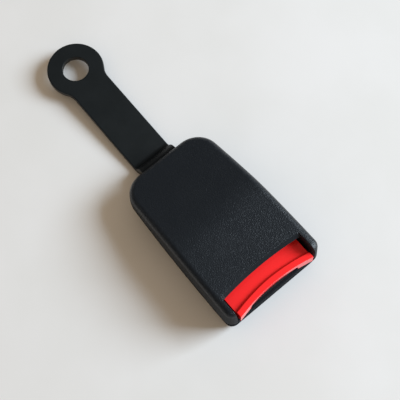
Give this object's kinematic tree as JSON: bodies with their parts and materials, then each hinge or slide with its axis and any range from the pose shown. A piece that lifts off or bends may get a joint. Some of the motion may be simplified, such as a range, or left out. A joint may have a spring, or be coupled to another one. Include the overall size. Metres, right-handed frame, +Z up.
{
  "type": "seat belt buckle",
  "caption": "End-release seat belt buckle with a press button across its mouth, on a cranked steel anchor strap with a bolt eyelet.",
  "frame": {"origin": "centre of the anchor bolt hole, at mid thickness of the eyelet", "axes": "+X from the eyelet towards the mouth, along the parting plane of the housing; +Y across; +Z up through the button side"},
  "size_m": [0.1569, 0.0506, 0.023],
  "materials": {
    "cover_black": "fine grained",
    "cover_black_lower": "fine grained",
    "button_red": "satin",
    "strap_black": "matt coated",
    "frame_steel": "zinc plated",
    "latch_steel": "plated",
    "pin_steel": "ground",
    "spring_steel": "drawn wire",
    "guide_black": "smooth",
    "slider_white": "natural"
  },
  "bodies": {
    "housing": {"top_cover": "cover_black", "bottom_cover": "cover_black_lower", "anchor_strap": "strap_black", "base_frame": "frame_steel", "front_rivet": "pin_steel", "rear_rivet": "pin_steel", "spring_bridge": "frame_steel", "tongue_guide": "guide_black", "latch_pivot": "pin_steel", "lock_spring": "spring_steel", "ejector_spring": "spring_steel", "left_button_spring": "spring_steel", "right_button_spring": "spring_steel"},
    "button": {"press_button": "button_red"},
    "lock": {"lock_pin": "pin_steel", "lock_slider": "slider_white"},
    "latch": {"latch": "latch_steel"},
    "ejector": {"ejector": "slider_white"}
  },
  "joints": [
    {"name": "button_press", "type": "slide", "parent": "housing", "child": "button", "axis": [-1, 0, 0], "range_m": [0, 0.005], "stiffness_N_per_m": 900, "springref_m": -0.006, "deforming": ["left_button_spring", "right_button_spring"]},
    {"name": "ejector_slide", "type": "slide", "parent": "housing", "child": "ejector", "axis": [-1, 0, 0], "range_m": [0, 0.0115], "stiffness_N_per_m": 700, "springref_m": -0.008, "deforming": ["ejector_spring"]},
    {"name": "latch_swing", "type": "hinge", "parent": "housing", "child": "latch", "pos_m": [0.0922, 0, 0.00788], "axis": [0, 1, 0], "range_deg": [0, 8.85]},
    {"name": "lock_slide", "type": "slide", "parent": "button", "child": "lock", "axis": [1, 0, 0], "range_m": [0, 0.0044], "deforming": ["lock_spring"]}
  ],
  "couplings": [
    {"joint": "latch_swing", "follows": "ejector_slide", "rad_per_m": 13.43},
    {"joint": "lock_slide", "follows": "ejector_slide", "ratio": 0.38261}
  ]
}
